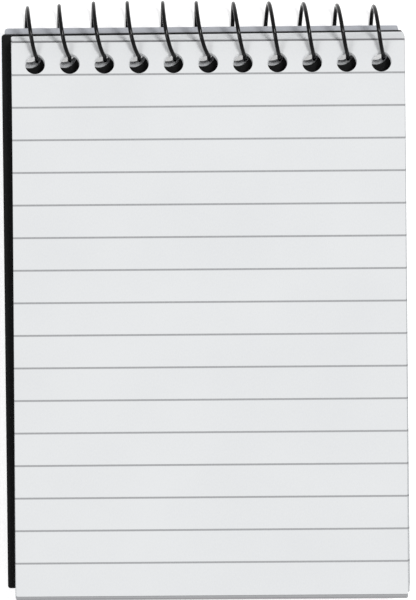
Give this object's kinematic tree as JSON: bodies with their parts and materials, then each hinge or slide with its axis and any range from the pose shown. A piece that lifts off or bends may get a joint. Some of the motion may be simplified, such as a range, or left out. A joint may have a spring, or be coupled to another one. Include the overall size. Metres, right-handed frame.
{
  "type": "reporter notebook",
  "caption": "Small top-bound reporter notebook, wire spiral along the head, ruled sheets in front, dark covers and used sheets folded behind.",
  "frame": {"origin": "middle of the pad's back face, on the last turned sheet", "axes": "+X to the right along the ruled lines, +Y towards the spiral, +Z out of the ruled page"},
  "size_m": [0.0739, 0.1087, 0.0107],
  "materials": {
    "ruled_paper": "matt, ruled",
    "turned_paper": "matt",
    "black_cover": "fine matt grain",
    "black_wire": "gloss black coating"
  },
  "bodies": {
    "pad": {"page_block": "ruled_paper", "back_cover": "black_cover", "spiral_wire": "black_wire"},
    "cover": {"front_cover": "black_cover", "turned_pages": "turned_paper"}
  },
  "joints": [
    {"name": "cover_turn", "type": "hinge", "parent": "pad", "child": "cover", "pos_m": [0, 0.0524, 0.00287], "axis": [1, 0, 0], "range_deg": [0, 180], "deforming": ["spiral_wire"]}
  ]
}
